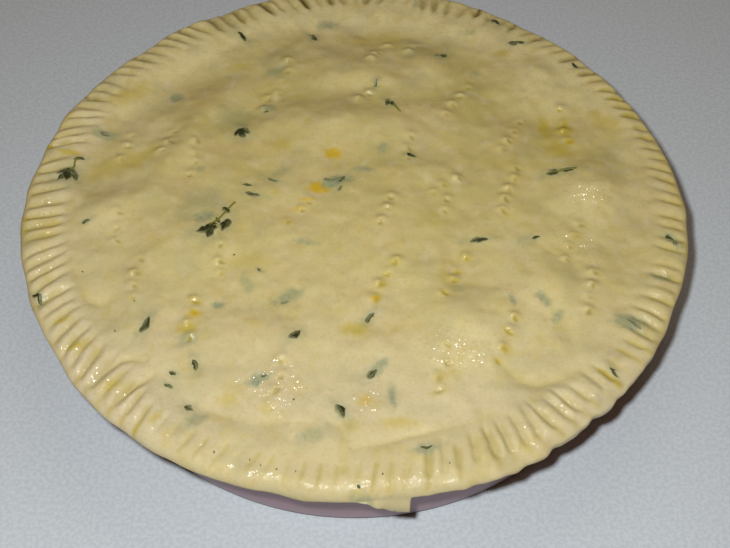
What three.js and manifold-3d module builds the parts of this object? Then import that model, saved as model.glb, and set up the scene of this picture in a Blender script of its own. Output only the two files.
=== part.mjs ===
// A large round savoury pie, filled and lidded and not yet baked, in its own metal tin.
// Millimetres, +Z up. The origin is the middle of the tin's base and the front of the pie faces -Y.
import * as THREE from "three";
import { mergeVertices } from "three/addons/utils/BufferGeometryUtils.js";
import Module from "manifold-3d";

// Tin
const TIN_BASE_RADIUS = 109.6;
const TIN_WALL_TOP_RADIUS = 113.5;
const TIN_FLANGE_RADIUS = 120.5;
const TIN_HEIGHT = 49.2;
const TIN_SHEET = 1.2;
const TIN_CORNER_RADIUS = 1.6;
const TIN_BEAD_RADIUS = 1.2;
const TIN_SEGMENTS = 64;
const CORNER_STEPS = 3;
const BEAD_STEPS = 5;

// Pastry lid and its rim
const PASTRY_RADIUS = 130;
const FIT_GAP = 0.4;
const CREST_HEIGHT = 54.7;
const BULGE_HEIGHT = 52.2;
const LIP_HEIGHT = 48.2;
const LIP_UNDERCUT = 0.8;
const DOME_RISE = 1.6;
const DOME_RADIUS = 106;
const RIM_BLEND_START = 106;
const RIM_BLEND_END = 119;
const MOAT_RADIUS = 108;
const MOAT_HALF_WIDTH = 5;
const MOAT_DEPTH = 0.5;
const LID_RING_STEP = 6.5;
const LID_RING_COUNT = 16;

// Rim over the flange: distances in from the outline, and how its edge rounds over
const RIM_LANES = [14, 8, 4.5, 2, 0.5];
const RIM_INNER_LANE = 19;
const EDGE_WIDTH = 7;
const EDGE_POWER = 2;

// Front stretch of the rim, which is a rounder roll down to the lower edge, with a deeper moat inside it
const FRONT_MIDDLE = THREE.MathUtils.degToRad(262);
const FRONT_HALF_WIDTH = THREE.MathUtils.degToRad(48);
const FRONT_EDGE_WIDTH = 6.2;
const FRONT_BULGE_RISE = 0.5;
const FRONT_MOAT_DEPTH = 1.4;

// Outer side of the lip: distance in from the outline and share of the way from the bulge to the lower edge
const LIP_LANES = [[0, 0], [0.8, 0.6], [3.2, 1]];

// Where the pastry's outline stands out and where it draws in: angle in degrees, change of radius
const OUTLINE_KEYS = [
  [0, 0.5], [20, -0.8], [45, -0.6], [65, 1.2], [90, 0.8], [115, -0.2], [130, -0.8], [150, 0.6], [175, 0.7],
  [198, 0.2], [210, -0.9], [227, 0.9], [234, -0.6], [245, 0], [252, -0.6], [257, -1.3], [261, -1],
  [268, -1.7], [280, -1.4], [286, -0.1], [291, 0.2], [300, -0.5], [315, -1.1], [340, -0.8],
];

// Waves of the pastry's outline and of its lower edge: waves in a turn, size, phase
const OUTLINE_WAVES = [[13, 0.3, 4.0], [23, 0.2, 1.3], [41, 0.15, 2.2]];
const LIP_WAVES = [[4, 0.5, 2.4], [9, 0.45, 0.6], [17, 0.35, 3.3]];

// Scrap of pastry that hangs lower at the front: angle in degrees, how far it drops, how far it stands out
const FLAP_KEYS = [
  [0, 0, 0], [269.5, 0, 0], [271.5, 0.2, 2.2], [273.8, 3.2, 3], [276, 7, 3.4], [276.5, 7.4, 3.8],
  [278.2, 7.8, 3.8], [278.5, 0, 0],
];

// Fork crimps round the rim: at each angle in degrees where they begin, how far they take to deepen,
// where they end, and their depth
const CRIMP_COUNT = 128;
const CRIMP_HALF_WIDTH = 0.34;
const CRIMP_FADE = 3;
const CRIMP_STRENGTH = [0.45, 1.1];
const CRIMP_SAMPLES = 3;
const CRIMP_KEYS = [
  [0, 117.5, 6, 127, 1.3],
  [30, 120, 7, 129, 1.4],
  [65, 120.5, 8, 131, 1.4],
  [90, 121, 8, 131, 1.4],
  [115, 119.5, 8, 131, 1.4],
  [140, 116.5, 8, 130, 1.3],
  [165, 116, 8, 129, 1.4],
  [188, 114, 5, 128, 1.4],
  [203, 114, 5, 126, 1.1],
  [215, 113, 5, 126, 1.0],
  [226, 110, 6, 125, 0.9],
  [234, 116, 3, 124, 0.7],
  [250, 118, 2, 121.5, 0.5],
  [275, 117, 2, 121.5, 0.5],
  [284, 112, 4, 124, 1.1],
  [300, 111, 4, 125, 1.3],
  [314, 113, 4, 123, 0.9],
  [322, 116, 3, 122, 0.3],
  [330, 115, 4, 125, 1.0],
  [345, 115, 5, 126.5, 1.2],
];

// Lumps and hollows of the lid: middle x, y, half length, half width, heading in degrees, height
const LUMPS = [
  [-6, 43, 29, 11, 3, 4.0],
  [0, 76, 20, 10, -4, 2.8],
  [2, 69, 22, 4, -4, 0.8],
  [4, 99, 34, 9, 0, -2.2],
  [-72, 68, 30, 11, 38, -3.5],
  [-70, 32, 30, 6, 66, 2.6],
  [-44, 50, 15, 7, 30, -1.6],
  [-97, -2, 13, 8, 22, 2.8],
  [80, 46, 13, 11, 0, -2.4],
  [80, 76, 12, 12, 0, 3.0],
  [96, 9, 14, 12, 0, 3.8],
  [31, 79, 7, 8, 0, 1.6],
  [30, 14, 9, 7, 0, 1.0],
  [41, -57, 16, 13, 0, 2.8],
  [74, -41, 14, 12, 0, 2.4],
  [-32, -66, 20, 11, 0, 2.2],
  [-62, -18, 17, 13, 0, 2.0],
  [-93, -52, 11, 7, -60, -1.8],
  [64, -84, 14, 4.5, 0, -1.2],
  [12, -12, 20, 18, 0, 1.2],
];

// Fork pricks: first prick x, y, heading of the row in degrees, how many
const PRICK_PITCH = 6.2;
const PRICK_RADIUS = 1.0;
const PRICK_DEPTH = 1.5;
const PRICK_RISE = 0.6;
const PRICK_SIDES = 4;
const PRICK_JITTER = 0.12;
const PRICK_ROWS = [
  [-91, 36, -104, 3], [-74, 38, -110, 3], [-63, 32, -99, 4], [-36, 57, -97, 2], [-28, 80, -101, 4],
  [7, 80, 57, 3], [27, 91, -117, 2], [9, 65, -126, 3], [48, 63, -124, 4], [69, 44, -120, 4],
  [65, 18, -106, 5], [86, 52, -83, 4], [24, 34, -99, 3], [42, 11, -150, 3], [14, 0, -106, 3],
  [37, 1, -104, 2], [42, -29, -115, 4], [15, -31, -114, 4], [88, -12, -114, 4], [91, -36, -107, 4],
  [58, -58, -110, 4], [34, -70, -105, 4], [-92, -7, -90, 3], [-82, -29, -90, 4], [-52, -18, -87, 4],
  [-26, -76, -97, 4], [-59, -48, -95, 4], [-18, 0, -125, 3],
];

// Thyme: sprigs (x, y, heading, leaves) and loose leaves (x, y, heading, length)
const LEAF_LENGTH = 5;
const LEAF_LENGTH_RANGE = [0.8, 1.2];
const LEAF_TURN_RANGE = [0.6, 1.4];
const LEAF_WIDTH_SHARE = 0.42;
const LEAF_THICKNESS = 1.3;
const LEAF_SPREAD = THREE.MathUtils.degToRad(38);
const LEAF_STEP = 2.1;
const LEAF_SIDE = 1.3;
const LEAF_SIDES = 6;
const LEAF_BANDS = 4;
const SLOPE_STEP = 1;
const SPRIGS = [
  [-50, -5, 222, 7], [-111, 19, 212, 6], [-49, 42, -60, 4], [88, 17, 190, 5], [-43, 9, -45, 3],
  [-5, 13, 215, 3], [16, 50, 120, 3],
];
const LOOSE_LEAVES = [
  [-49, 98, -57, 6], [-18, 95, 80, 4], [38, 84, 30, 5], [70, 93, 0, 5], [22, 24, -45, 4],
  [46, -19, 5, 8], [68, -19, 10, 5], [5, -55, 60, 6], [5, -80, 50, 7], [-6, -96, -55, 6],
  [-77, -59, 65, 6], [-22, -63, 40, 5], [-57, -77, -75, 5], [-34, -82, 15, 6], [13, -88, -80, 8],
];

const PASTRY_COLOUR = 0xc8b884;
const TIN_COLOUR = 0x8a767b;

const NOISE_STEP = 127.1;
const NOISE_SEED_STEP = 311.7;
const NOISE_GAIN = 43758.5453;
const CRIMP_SEED = 1;
const PRICK_SEED = 2;
const LEAF_TURN_SEED = 10;
const LEAF_LENGTH_SEED = 30;

const TURN = 2 * Math.PI;
const { degToRad, lerp, smoothstep } = THREE.MathUtils;
const wasm = await Module();
wasm.setup();

// The same uneven number in a range every time for a pair of whole numbers.
function draw([low, high], index, seed) {
  const value = Math.sin(index * NOISE_STEP + seed * NOISE_SEED_STEP) * NOISE_GAIN;
  return lerp(low, high, value - Math.floor(value));
}

function waves(list, angle) {
  return list.reduce((sum, [count, size, phase]) => sum + size * Math.sin(count * angle + phase), 0);
}

function positiveAngle(x, y) {
  return (Math.atan2(y, x) + TURN) % TURN;
}

// Values at an angle, eased between rows of keys, each an angle in degrees and its values.
function betweenKeys(keys, angle) {
  const degrees = THREE.MathUtils.radToDeg(angle);
  let index = keys.length - 1;
  while (keys[index][0] > degrees) index -= 1;
  const from = keys[index];
  const to = keys[(index + 1) % keys.length];
  const span = (to[0] - from[0] + 360) % 360;
  const share = smoothstep((degrees - from[0]) / span, 0, 1);
  return from.slice(1).map((value, column) => lerp(value, to[column + 1], share));
}

// Outer radius of the pastry at an angle.
function outline(angle) {
  const [change] = betweenKeys(OUTLINE_KEYS, angle);
  return PASTRY_RADIUS + change + waves(OUTLINE_WAVES, angle);
}

// Height of the pastry's lower edge at an angle, without the hanging scrap.
function lipEdge(angle) {
  return LIP_HEIGHT + waves(LIP_WAVES, angle);
}

// Height of the pastry's lower edge at an angle.
function lipHeight(angle) {
  const [drop] = betweenKeys(FLAP_KEYS, angle);
  return lipEdge(angle) - drop;
}

// How much a place on the rim belongs to the front stretch.
function frontShare(angle) {
  return 1 - smoothstep(Math.abs(angle - FRONT_MIDDLE), 0, FRONT_HALF_WIDTH);
}

// Height of the outermost line of the rim.
function bulgeHeight(angle) {
  return lerp(BULGE_HEIGHT, lipEdge(angle) + FRONT_BULGE_RISE, frontShare(angle));
}

// How far the rim's edge has rounded down from the crest to the bulge.
function edgeDrop(angle, radius) {
  const width = lerp(EDGE_WIDTH, FRONT_EDGE_WIDTH, frontShare(angle));
  const share = THREE.MathUtils.clamp((width - outline(angle) + radius) / width, 0, 1);
  const roundShare = 1 - (1 - share ** EDGE_POWER) ** (1 / EDGE_POWER);
  return (CREST_HEIGHT - bulgeHeight(angle)) * roundShare;
}

// Depth of the fork's grooves at a point of the rim: the nearest groove, stronger or weaker by its number.
function crimpDepth(angle, radius) {
  const [start, rise, end, depth] = betweenKeys(CRIMP_KEYS, angle);
  const place = (angle / TURN) * CRIMP_COUNT;
  const groove = Math.round(place);
  const strength = draw(CRIMP_STRENGTH, groove % CRIMP_COUNT, CRIMP_SEED);
  const across = 1 - smoothstep(Math.abs(place - groove), 0, CRIMP_HALF_WIDTH);
  const begun = smoothstep(radius, start, start + rise);
  const ended = smoothstep(radius, end, end + CRIMP_FADE);
  return depth * strength * across * begun * (1 - ended);
}

function lumpHeight(x, y) {
  return LUMPS.reduce((sum, [middleX, middleY, length, width, heading, height]) => {
    const turn = degToRad(heading);
    const along = (x - middleX) * Math.cos(turn) + (y - middleY) * Math.sin(turn);
    const across = (y - middleY) * Math.cos(turn) - (x - middleX) * Math.sin(turn);
    return sum + height * Math.exp(-((along / length) ** 2) - (across / width) ** 2);
  }, 0);
}

// Height of the lid's upper face without pricks and thyme.
function topHeight(x, y) {
  const radius = Math.hypot(x, y);
  const angle = positiveAngle(x, y);
  const dome = DOME_RISE * (1 - (radius / DOME_RADIUS) ** 2);
  const rim = smoothstep(radius, RIM_BLEND_START, RIM_BLEND_END);
  const moatDepth = lerp(MOAT_DEPTH, FRONT_MOAT_DEPTH, frontShare(angle));
  const moat = moatDepth * Math.exp(-(((radius - MOAT_RADIUS) / MOAT_HALF_WIDTH) ** 2));
  const lid = (dome + lumpHeight(x, y)) * (1 - rim) - moat;
  return CREST_HEIGHT + lid - crimpDepth(angle, radius) - edgeDrop(angle, radius);
}

function ring(count, pointAt) {
  return Array.from({ length: count }, (_, index) => pointAt((index / count) * TURN));
}

function roundRing(count, radius, height) {
  return ring(count, (angle) => [radius * Math.cos(angle), radius * Math.sin(angle), height]);
}

function lidRing(count, radius) {
  return ring(count, (angle) => {
    const x = radius * Math.cos(angle);
    const y = radius * Math.sin(angle);
    return [x, y, topHeight(x, y)];
  });
}

// Ring of the rim at a distance in from the outline.
function rimRing(count, inset) {
  return ring(count, (angle) => {
    const radius = outline(angle) - inset;
    const x = radius * Math.cos(angle);
    const y = radius * Math.sin(angle);
    return [x, y, topHeight(x, y)];
  });
}

// Ring of the lip's outer side, at a share of the way from the bulge down to the lower edge.
function lipRing(count, inset, share) {
  return ring(count, (angle) => {
    const [, flare] = betweenKeys(FLAP_KEYS, angle);
    const radius = outline(angle) - inset + flare * share;
    const height = lerp(bulgeHeight(angle), lipHeight(angle), share);
    return [radius * Math.cos(angle), radius * Math.sin(angle), height];
  });
}

// Ring just outside the flange's bead, under the lip, a little above the lower edge.
function undercutRing(count, radius) {
  return ring(count, (angle) => {
    const height = lipHeight(angle) + LIP_UNDERCUT;
    return [radius * Math.cos(angle), radius * Math.sin(angle), height];
  });
}

// One closed mesh from rings that run from the middle of the top, round the edge, to the middle of the base.
function meshFromRings(rings) {
  const points = [];
  const triangles = [];
  const numbered = rings.map((loop) => loop.map((point) => points.push(point) - 1));
  for (let k = 0; k + 1 < numbered.length; k += 1) {
    stitch(numbered[k], numbered[k + 1], triangles);
  }
  const geometry = new THREE.BufferGeometry();
  geometry.setAttribute("position", new THREE.Float32BufferAttribute(points.flat(), 3));
  geometry.setIndex(triangles);
  return geometry;
}

// Triangles between two rings of different counts, always taking the step that is next round the turn.
function stitch(inner, outer, triangles) {
  const innerSteps = inner.length > 1 ? inner.length : 0;
  const outerSteps = outer.length > 1 ? outer.length : 0;
  let i = 0;
  let j = 0;
  while (i < innerSteps || j < outerSteps) {
    const innerNext = innerSteps ? (i + 1) / innerSteps : Infinity;
    const outerNext = outerSteps ? (j + 1) / outerSteps : Infinity;
    const a = inner[i % inner.length];
    const b = outer[j % outer.length];
    if (outerNext <= innerNext) {
      triangles.push(a, b, outer[(j + 1) % outer.length]);
      j += 1;
    } else {
      triangles.push(a, b, inner[(i + 1) % inner.length]);
      i += 1;
    }
  }
}

// Lid, rim, lip and the body that fills the tin, as one skin.
function pieSkin() {
  const fine = CRIMP_COUNT * CRIMP_SAMPLES;
  const medium = Math.round(fine / 2);
  const coarse = TIN_SEGMENTS;
  const rings = [[[0, 0, topHeight(0, 0)]]];
  for (let k = 1; k <= LID_RING_COUNT; k += 1) {
    rings.push(lidRing(Math.round(TURN * k), LID_RING_STEP * k));
  }
  const overBead = TIN_FLANGE_RADIUS + TIN_BEAD_RADIUS + FIT_GAP;
  const wallGap = TIN_SHEET + FIT_GAP;
  rings.push(
    rimRing(medium, RIM_INNER_LANE),
    ...RIM_LANES.map((inset) => rimRing(fine, inset)),
    ...LIP_LANES.map(([inset, share]) => lipRing(medium, inset, share)),
    undercutRing(medium, overBead),
    roundRing(coarse, overBead, TIN_HEIGHT + FIT_GAP),
    roundRing(coarse, TIN_WALL_TOP_RADIUS - wallGap, TIN_HEIGHT + FIT_GAP),
    roundRing(coarse, TIN_BASE_RADIUS - wallGap, wallGap),
    [[0, 0, wallGap]],
  );
  return meshFromRings(rings);
}

function toSolid(geometry) {
  const bare = geometry.clone();
  bare.deleteAttribute("normal");
  bare.deleteAttribute("uv");
  const merged = mergeVertices(bare);
  const vertProperties = new Float32Array(merged.attributes.position.array);
  const triVerts = new Uint32Array(merged.index.array);
  return new wasm.Manifold(new wasm.Mesh({ numProp: 3, vertProperties, triVerts }));
}

function toGeometry(solid) {
  const { vertProperties, triVerts } = solid.getMesh();
  const geometry = new THREE.BufferGeometry();
  geometry.setAttribute("position", new THREE.BufferAttribute(vertProperties, 3));
  geometry.setIndex(new THREE.BufferAttribute(triVerts, 1));
  geometry.computeVertexNormals();
  return geometry;
}

// Every fork prick as a small cone, point down, that starts just above the lid.
function prickTools() {
  const height = PRICK_DEPTH + PRICK_RISE;
  return PRICK_ROWS.flatMap(([startX, startY, heading, count], row) =>
    Array.from({ length: count }, (_, index) => {
      const jitter = draw([-PRICK_JITTER, PRICK_JITTER], row * PRICK_ROWS.length + index, PRICK_SEED);
      const reach = PRICK_PITCH * (index + jitter);
      const x = startX + reach * Math.cos(degToRad(heading));
      const y = startY + reach * Math.sin(degToRad(heading));
      const cone = new THREE.ConeGeometry(PRICK_RADIUS, height, PRICK_SIDES);
      cone.rotateX(-Math.PI / 2);
      return cone.translate(x, y, topHeight(x, y) + PRICK_RISE - height / 2);
    }),
  );
}

// One leaf lying on the lid, pointed at both ends, half sunk along the local slope.
function leaf(x, y, heading, length) {
  const slopeX = (topHeight(x + SLOPE_STEP, y) - topHeight(x - SLOPE_STEP, y)) / (2 * SLOPE_STEP);
  const slopeY = (topHeight(x, y + SLOPE_STEP) - topHeight(x, y - SLOPE_STEP)) / (2 * SLOPE_STEP);
  const up = new THREE.Vector3(-slopeX, -slopeY, 1).normalize();
  const ahead = new THREE.Vector3(Math.cos(heading), Math.sin(heading), 0).projectOnPlane(up).normalize();
  const side = new THREE.Vector3().crossVectors(ahead, up);
  const blade = new THREE.SphereGeometry(0.5, LEAF_SIDES, LEAF_BANDS);
  blade.scale(length * LEAF_WIDTH_SHARE, length, LEAF_THICKNESS);
  blade.applyMatrix4(new THREE.Matrix4().makeBasis(side, ahead, up));
  return blade.translate(x, y, topHeight(x, y));
}

// A sprig's leaves, set to the left and right of its stem in turn.
function sprigLeaves([startX, startY, headingDegrees, count], number) {
  const heading = degToRad(headingDegrees);
  return Array.from({ length: count }, (_, index) => {
    const side = index % 2 ? 1 : -1;
    const reach = LEAF_STEP * index;
    const x = startX + reach * Math.cos(heading) - side * LEAF_SIDE * Math.sin(heading);
    const y = startY + reach * Math.sin(heading) + side * LEAF_SIDE * Math.cos(heading);
    const turn = heading + side * LEAF_SPREAD * draw(LEAF_TURN_RANGE, index, LEAF_TURN_SEED + number);
    return leaf(x, y, turn, LEAF_LENGTH * draw(LEAF_LENGTH_RANGE, index, LEAF_LENGTH_SEED + number));
  });
}

function thymeLeaves() {
  const loose = LOOSE_LEAVES.map(([x, y, heading, length]) => leaf(x, y, degToRad(heading), length));
  return SPRIGS.flatMap(sprigLeaves).concat(loose);
}

function pieGeometry() {
  const pricked = prickTools().reduce((solid, tool) => solid.subtract(toSolid(tool)), toSolid(pieSkin()));
  const dressed = thymeLeaves().reduce((solid, blade) => solid.add(toSolid(blade)), pricked);
  return toGeometry(dressed);
}

function arc(middleX, middleY, radius, startDegrees, endDegrees, steps) {
  return Array.from({ length: steps + 1 }, (_, index) => {
    const angle = degToRad(lerp(startDegrees, endDegrees, index / steps));
    return new THREE.Vector2(middleX + radius * Math.cos(angle), middleY + radius * Math.sin(angle));
  });
}

// Pressed sheet with a flat base, a round corner, a slightly flared wall and a flange with a rolled bead.
function tinGeometry() {
  const corner = TIN_CORNER_RADIUS;
  const innerCorner = corner - TIN_SHEET;
  const lean = THREE.MathUtils.radToDeg(Math.atan2(TIN_WALL_TOP_RADIUS - TIN_BASE_RADIUS, TIN_HEIGHT));
  const cornerMiddle = TIN_BASE_RADIUS - corner;
  const beadHeight = TIN_HEIGHT - TIN_BEAD_RADIUS;
  const profile = [
    new THREE.Vector2(0, 0),
    ...arc(cornerMiddle, corner, corner, -90, -lean, CORNER_STEPS),
    new THREE.Vector2(TIN_WALL_TOP_RADIUS, TIN_HEIGHT - TIN_SHEET),
    ...arc(TIN_FLANGE_RADIUS, beadHeight, TIN_BEAD_RADIUS, -180, 90, BEAD_STEPS),
    new THREE.Vector2(TIN_WALL_TOP_RADIUS - TIN_SHEET, TIN_HEIGHT),
    ...arc(cornerMiddle, corner, innerCorner, -lean, -90, CORNER_STEPS),
    new THREE.Vector2(0, TIN_SHEET),
  ];
  return new THREE.LatheGeometry(profile, TIN_SEGMENTS).rotateX(Math.PI / 2);
}

function part(name, geometry, colour, roughness, metalness) {
  const material = new THREE.MeshStandardMaterial({ color: colour, roughness, metalness });
  const mesh = new THREE.Mesh(geometry, material);
  mesh.name = name;
  return mesh;
}

const object = new THREE.Group();
object.add(part("pie", pieGeometry(), PASTRY_COLOUR, 0.4, 0));
object.add(part("tin", tinGeometry(), TIN_COLOUR, 0.5, 0.6));

export default object;
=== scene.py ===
# Looks of a large round savoury pie, not yet baked, in its own metal tin.
# Lengths are millimetres and headings degrees until a mesh or a light is made in metres.
# A span that uneven numbers are drawn from is its low end, its high end and its own seed.
from math import atan2, cos, pi, radians, sin
from types import SimpleNamespace

import bmesh
import bpy
import numpy as np
from mathutils import Matrix, Vector, noise


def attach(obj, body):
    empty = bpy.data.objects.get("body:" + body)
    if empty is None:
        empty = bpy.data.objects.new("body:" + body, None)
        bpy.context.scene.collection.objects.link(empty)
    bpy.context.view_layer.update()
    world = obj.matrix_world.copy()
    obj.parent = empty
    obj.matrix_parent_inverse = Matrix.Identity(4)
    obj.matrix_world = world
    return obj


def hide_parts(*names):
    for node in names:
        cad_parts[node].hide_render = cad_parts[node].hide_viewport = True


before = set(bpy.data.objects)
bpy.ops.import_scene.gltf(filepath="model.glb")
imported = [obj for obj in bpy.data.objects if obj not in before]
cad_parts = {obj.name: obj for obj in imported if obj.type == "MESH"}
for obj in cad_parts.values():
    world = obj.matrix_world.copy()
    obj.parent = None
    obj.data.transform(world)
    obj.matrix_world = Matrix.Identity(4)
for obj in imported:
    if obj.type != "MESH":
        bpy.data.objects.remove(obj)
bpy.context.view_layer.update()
scene = bpy.context.scene

MM = 0.001
TURN = 2 * pi

# Camera: distance from the middle of the rim, elevation, and how far it is turned off that middle
IMAGE_WIDTH = 730
FOCAL_PIXELS = 1300
SENSOR_WIDTH = 36
CAMERA_DISTANCE = 515.4
CAMERA_ELEVATION = 48.92
CAMERA_AIM_HEIGHT = 51.5
CAMERA_TILT = -2.876
CAMERA_PAN = -0.424
CLIP_START = 10

# Lights: the key stands beside the lens, up and to the left
KEY_LEFT = 26
KEY_UP = 25
KEY_SIZE = 20
KEY_POWER = 2.68
KEY_COLOUR = (1, 0.985, 0.97)
FILL_PLACE = (150, 420, 1100)
FILL_SIZE = 700
FILL_POWER = 1.6
FILL_COLOUR = (1, 0.97, 0.84)
WORLD_COLOUR = (1, 0.46, 0.18)
WORLD_STRENGTH = 0.095
FLOOR_SIZE = 4000
FLOOR_SCALE = 650
FLOOR_DETAIL = 2
FLOOR_TONES = [(0.4, (0.45, 0.51, 0.56, 1)), (0.6, (0.51, 0.57, 0.615, 1))]

# Tin
TIN_BASE_RADIUS = 109.6
TIN_WALL_TOP_RADIUS = 113.5
TIN_FLANGE_RADIUS = 120.5
TIN_HEIGHT = 49.2
TIN_SHEET = 1.2
TIN_CORNER_RADIUS = 1.6
TIN_BEAD_RADIUS = 1.2
TIN_SEGMENTS = 256
TIN_CORNER_STEPS = 6
TIN_BEAD_STEPS = 12
TIN_WALL_STEPS = 8

# Pastry lid and its rim
PASTRY_RADIUS = 130
FIT_GAP = 0.4
CREST_HEIGHT = 54.7
BULGE_HEIGHT = 52.2
LIP_HEIGHT = 48.2
LIP_TUCK = 3.2
LIP_UNDERCUT = 0.8
LIP_STEPS = 9
EDGE_WIDTH = 7
EDGE_POWER = 2
DOME_RISE = 1.6
DOME_RADIUS = 106
RIM_BLEND_START = 106
RIM_BLEND_END = 119
MOAT_HALF_WIDTH = 5
LID_SPACING = 1.0
LID_EDGE = 104
LID_LEAST_STEPS = 6
LID_CLEARANCE = 1
RIM_STEPS = 24
BODY_SEGMENTS = 128

# Front stretch of the rim, its middle and half width in degrees, a rounder roll down to the lower edge
FRONT_STRETCH = (262, 48)
FRONT_EDGE_WIDTH = 6.2
FRONT_BULGE_RISE = 0.5

# Shallow moat between the lid and the rim: angle in degrees, radius, depth
MOAT_KEYS = np.array([
    (0, 108, 0.5), (214, 108, 0.5), (238, 108, 1.1), (249, 106.5, 0.9), (258, 103, 0.7), (267, 102, 0.8),
    (270, 109.5, 1), (280, 107.6, 1.2), (294, 107.8, 0.9), (312, 108, 0.5),
])

# Where the pastry's outline stands out and where it draws in: angle in degrees, change of radius
OUTLINE_KEYS = np.array([
    (0, 0.5), (20, -0.8), (45, -0.6), (65, 1.2), (90, 0.8), (115, -0.2), (130, -0.8), (150, 0.6), (175, 0.7),
    (198, 0.2), (210, -0.9), (227, 0.9), (234, -0.6), (245, 0), (252, -0.6), (257, -1.3), (261, -1),
    (268, -1.7), (280, -1.4), (286, -0.1), (291, 0.2), (300, -0.5), (315, -1.1), (340, -0.8),
])

# Waves of the outline, of its ragged stretch and of the lower edge: waves in a turn, size, phase
OUTLINE_WAVES = [(13, 0.3, 4), (23, 0.2, 1.3), (41, 0.15, 2.2)]
RAGGED_WAVES = [(53, 0.4, 0.7), (79, 0.3, 2.9), (127, 0.15, 1.1)]
RAGGED_STRETCH = (304, 34)
LIP_WAVES = [(4, 0.5, 2.4), (9, 0.45, 0.6), (17, 0.35, 3.3)]
LIP_BUMPS = [(12, 1), (5, 0.45)]
LIP_DIPS = [(13, 0.9), (5, 0.45)]

# Scrap of pastry that hangs lower at the front: angle in degrees, how far it drops, how far it stands out
FLAP_KEYS = np.array([
    (0, 0, 0), (269.5, 0, 0), (271.5, 0.2, 2.2), (273.8, 3.2, 3), (276, 7, 3.4), (276.5, 7.4, 3.8),
    (278.2, 7.8, 3.8), (278.5, 0, 0),
])

# Fork crimps round the rim, pressed as many at a time as the fork has tines
CRIMP_COUNT = 128
FORK_TINES = 4
CRIMP_SAMPLES = 11
CRIMP_FADE = 3
CRIMP_WASH_AND_SHADE_REACH = 4
CRIMP_SHARPNESS = 1.8
CRIMP_STRENGTH = (0.25, 1.15, 1)
CRIMP_SHIFT = (-0.06, 0.06, 3)
CRIMP_WIDTH = (0.8, 1.2, 5)
CRIMP_NARROWING = 0.5
ROLL_STRENGTH = (0.4, 1.2)
ROLL_LENGTH = 8
ROLL_LAYER = 7
ROLL_POWER = 1.3
ROLL_MEAN = 0.58
ROLL_UNEVEN = (-0.5, 0.5)
# Painted highlight on the tops of the rolls: its strength, and how much paler they are towards the left with
# the span of x over which that sets in
ROLL_PAINTED_LIGHT = 0.25
ROLL_HIGHLIGHT_PALE = (0.2, 40, 100)
PRESS_STRENGTH = (0.7, 1.1, 15)
PRESS_SHIFT = (-0.1, 0.1, 16)
PRESS_TIGHTENING = 0.05
PRESS_LEAN = (-0.05, 0.05, 4)
PRESS_START_SHIFT = (-2, 2, 6)

# At each angle in degrees: where the crimps begin, how far they take to deepen, where they end, their depth,
# lean a mm, half width as a share of the spacing, and height of the rolls between them
CRIMP_KEYS = np.array([
    (0, 118.5, 4, 126.5, 1.1, -0.03, 0.24, 0.6),
    (30, 120, 4, 126.5, 1.3, -0.045, 0.24, 0.5),
    (65, 120, 5, 127, 1.7, -0.03, 0.25, 0.5),
    (90, 117.5, 3, 127, 1.9, 0, 0.25, 0.5),
    (115, 117, 5, 127, 1.9, 0.035, 0.26, 0.5),
    (140, 117, 7, 126.5, 1.7, 0.04, 0.27, 0.6),
    (165, 115, 8, 127, 1.3, 0.04, 0.3, 1.1),
    (184, 114, 5, 127, 0.8, 0, 0.34, 0.9),
    (194, 114, 5, 127, 0.8, 0.02, 0.34, 1.5),
    (203, 114, 5, 126, 0.8, 0.05, 0.32, 1.1),
    (215, 113, 5, 126, 0.8, 0.1, 0.28, 1.1),
    (226, 110, 6, 125, 0.7, 0.02, 0.24, 0.8),
    (234, 116, 3, 124, 0.7, 0.03, 0.16, 0.3),
    (250, 118, 2, 121.5, 0.5, 0, 0.14, 0.1),
    (275, 117, 2, 121.5, 0.5, 0, 0.14, 0.1),
    (284, 112, 4, 122.5, 0.6, 0, 0.22, 0.9),
    (300, 111, 5, 123, 0.5, 0, 0.26, 1.6),
    (314, 113, 5, 122, 0.5, 0, 0.25, 1.2),
    (322, 116, 3, 122, 0.3, 0, 0.2, 0.3),
    (330, 115, 5, 125.5, 0.9, -0.02, 0.24, 0.9),
    (345, 117, 4, 126.5, 1, -0.02, 0.24, 0.8),
])

# Yellow wash: angles in degrees of the crimps where it has gathered, how far it spreads and how strong it is
POOL_ANGLES = [
    17.7, 20.5, 23.6, 28.5, 31.5, 34.5, 166, 183.6, 186.7, 206.7, 213, 215, 224, 234, 312, 317.7, 324, 326.7,
]
POOL_SPREAD = 1.1
POOL_BASE = 0.4
PRICK_WASH_REACH = 1.7
CREASE_WASH = 0.25

# Painted shade in the grooves and along the rim's edge: strength, and the span of y over which it grows to
# the back
GROOVE_SHADE = 0.25
GROOVE_BACK_SHADE = (1.3, 20, 110)
EDGE_SHADE = (0.4, -70, 0)
EDGE_SHADE_WIDTH = 1.2

# Lumps and hollows of the lid: middle x, y, half length, half width, heading, height
LUMPS = [
    (-6, 43, 29, 11, 3, 4), (0, 76, 20, 10, -4, 2.8), (2, 69, 22, 4, -4, 0.8), (4, 99, 34, 9, 0, -1.6),
    (-72, 68, 30, 11, 38, -2.9), (-70, 32, 30, 6, 66, 2.6), (-44, 50, 15, 7, 30, -1.6),
    (-97, -2, 13, 8, 22, 2.8), (80, 46, 13, 11, 0, -2.4), (80, 76, 12, 12, 0, 3), (96, 9, 14, 12, 0, 3.8),
    (31, 79, 7, 8, 0, 1.6), (30, 14, 9, 7, 0, 1), (41, -57, 16, 13, 0, 2.8), (74, -41, 14, 12, 0, 2.4),
    (-32, -66, 20, 11, 0, 2.2), (-62, -18, 17, 13, 0, 2), (-93, -52, 11, 7, -60, -1.8),
    (64, -84, 14, 4.5, 0, -1.2), (12, -12, 20, 18, 0, 1.2),
]

# Soft unevenness of rolled dough: length of the waves, height
RIPPLES = [(24, 0.7), (11, 0.8), (5, 0.35)]

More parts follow.
